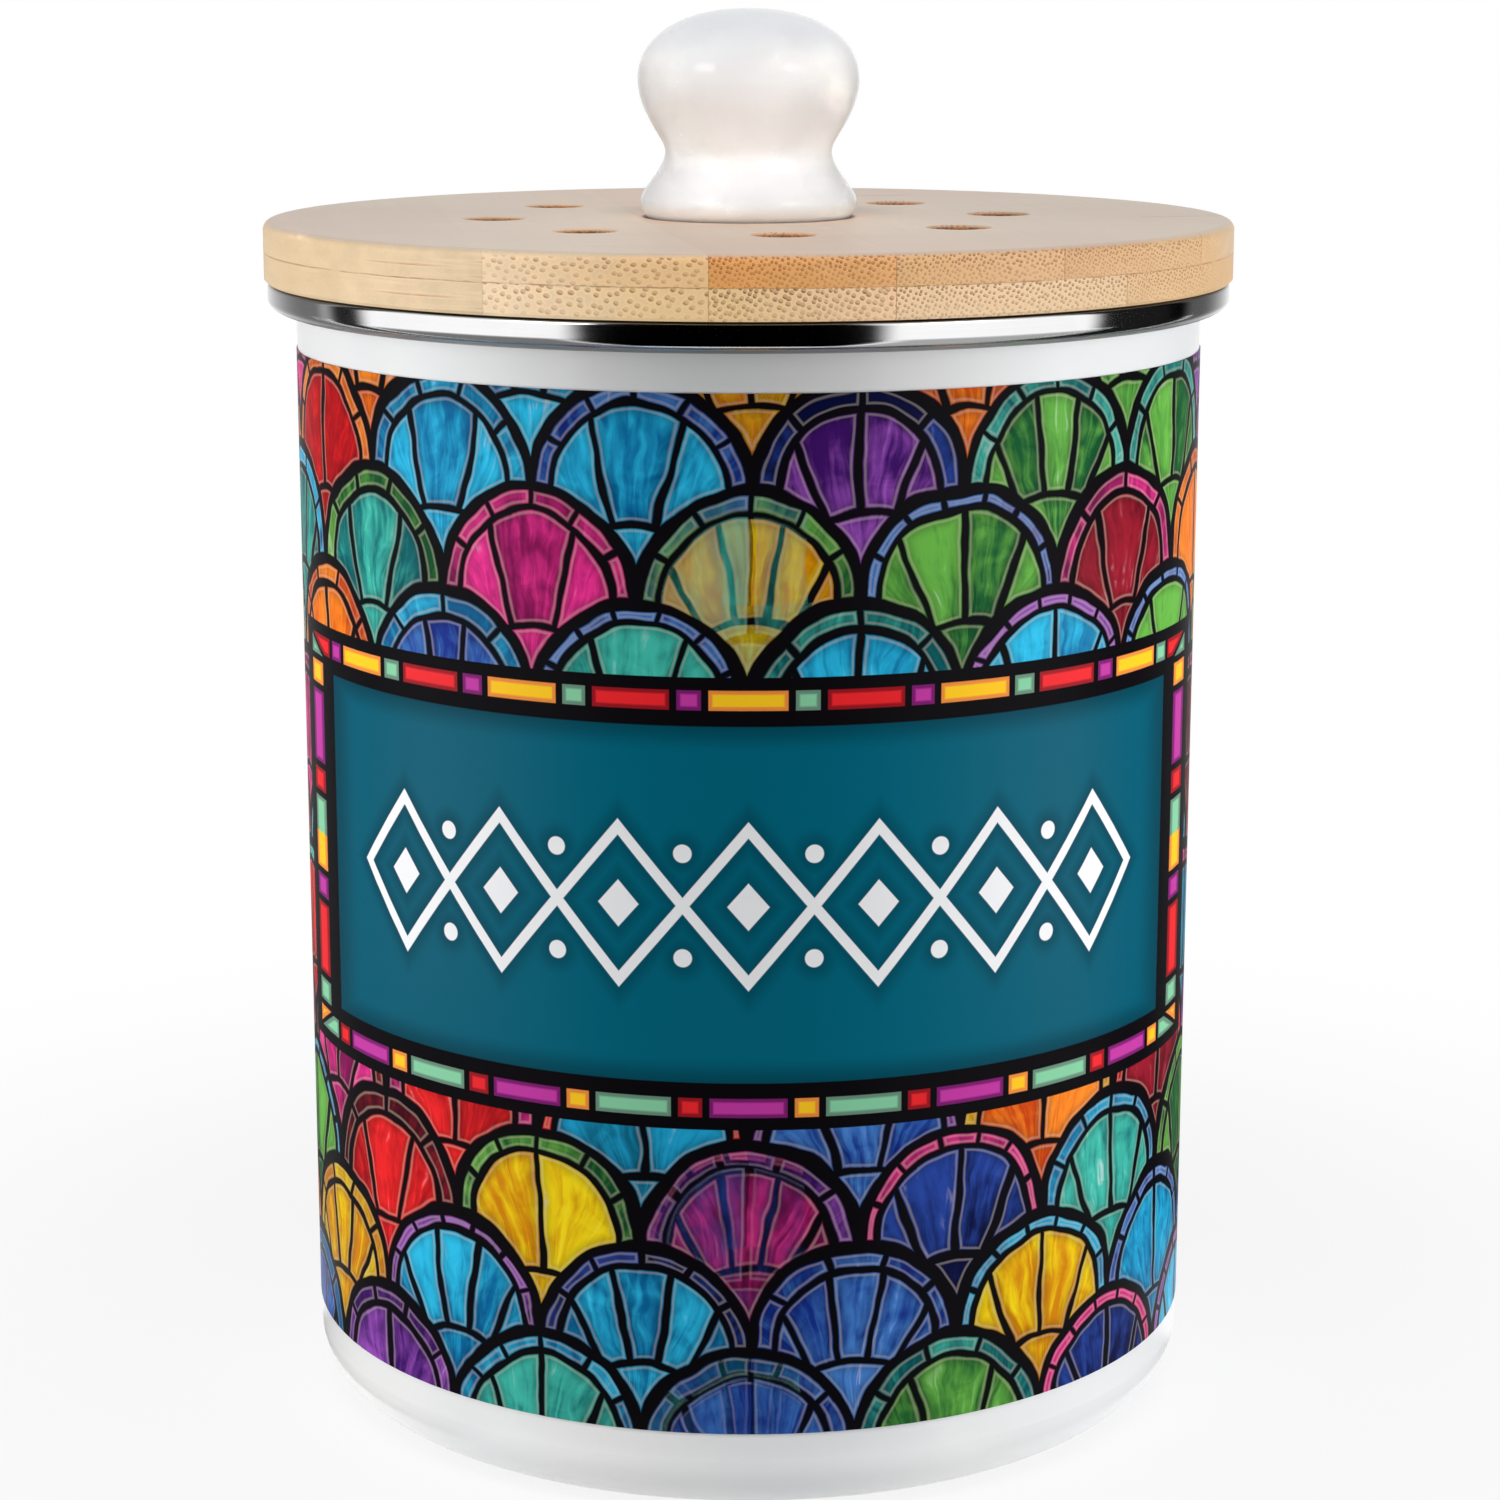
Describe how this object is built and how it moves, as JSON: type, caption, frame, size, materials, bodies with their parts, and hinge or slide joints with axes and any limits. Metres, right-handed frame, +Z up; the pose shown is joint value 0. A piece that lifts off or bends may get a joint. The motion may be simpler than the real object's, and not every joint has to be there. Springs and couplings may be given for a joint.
{
  "type": "compost caddy",
  "caption": "Round countertop compost caddy: printed enamelled canister, steel rim band, vented bamboo lid with ceramic knob, seal and clipped charcoal filter.",
  "frame": {"origin": "centre of the foot ring's lower face, on the surface that the caddy stands on", "axes": "+Z up along the canister's axis, front of the print towards -Y, +X to the right seen from the front"},
  "size_m": [0.168, 0.168, 0.2441],
  "materials": {
    "enamel": "gloss white vitreous enamel",
    "polished_steel": "polished stainless steel",
    "print": "printed stained-glass pattern under clear gloss",
    "bamboo": "oiled laminated bamboo",
    "glazed_ceramic": "white gloss glaze",
    "silicone": "translucent silicone",
    "charcoal_foam": "open-cell foam with activated charcoal",
    "clip_steel": "stamped stainless steel",
    "screw_steel": "zinc-plated steel",
    "brass": "turned brass"
  },
  "bodies": {
    "canister": {"canister_shell": "enamel", "rim_band": "polished_steel", "printed_sleeve": "print"},
    "lid": {"lid_upper_stave_1": "bamboo", "lid_upper_stave_2": "bamboo", "lid_upper_stave_3": "bamboo", "lid_upper_stave_4": "bamboo", "lid_upper_stave_5": "bamboo", "lid_upper_stave_6": "bamboo", "lid_lower_stave_1": "bamboo", "lid_lower_stave_2": "bamboo", "lid_lower_stave_3": "bamboo", "lid_lower_stave_4": "bamboo", "lid_lower_stave_5": "bamboo", "plug_ring": "bamboo", "lid_seal": "silicone", "charcoal_filter": "charcoal_foam", "clip_screws": "screw_steel", "knob": "glazed_ceramic", "knob_insert": "brass", "knob_bolt": "screw_steel", "knob_washer": "screw_steel"},
    "clip_1": {"filter_clip_1": "clip_steel"},
    "clip_2": {"filter_clip_2": "clip_steel"},
    "clip_3": {"filter_clip_3": "clip_steel"}
  },
  "joints": [
    {"name": "lid_lift", "type": "slide", "parent": "canister", "child": "lid", "axis": [0, 0, 1], "range_m": [0, 0.1]},
    {"name": "clip_1_turn", "type": "hinge", "parent": "lid", "child": "clip_1", "pos_m": [0.04106, -0.05256, 0.1874], "axis": [0, 0, 1], "range_deg": [-100, 100]},
    {"name": "clip_2_turn", "type": "hinge", "parent": "lid", "child": "clip_2", "pos_m": [0.02499, 0.06184, 0.1874], "axis": [0, 0, 1], "range_deg": [-100, 100]},
    {"name": "clip_3_turn", "type": "hinge", "parent": "lid", "child": "clip_3", "pos_m": [-0.06605, -0.00928, 0.1874], "axis": [0, 0, 1], "range_deg": [-100, 100]}
  ]
}
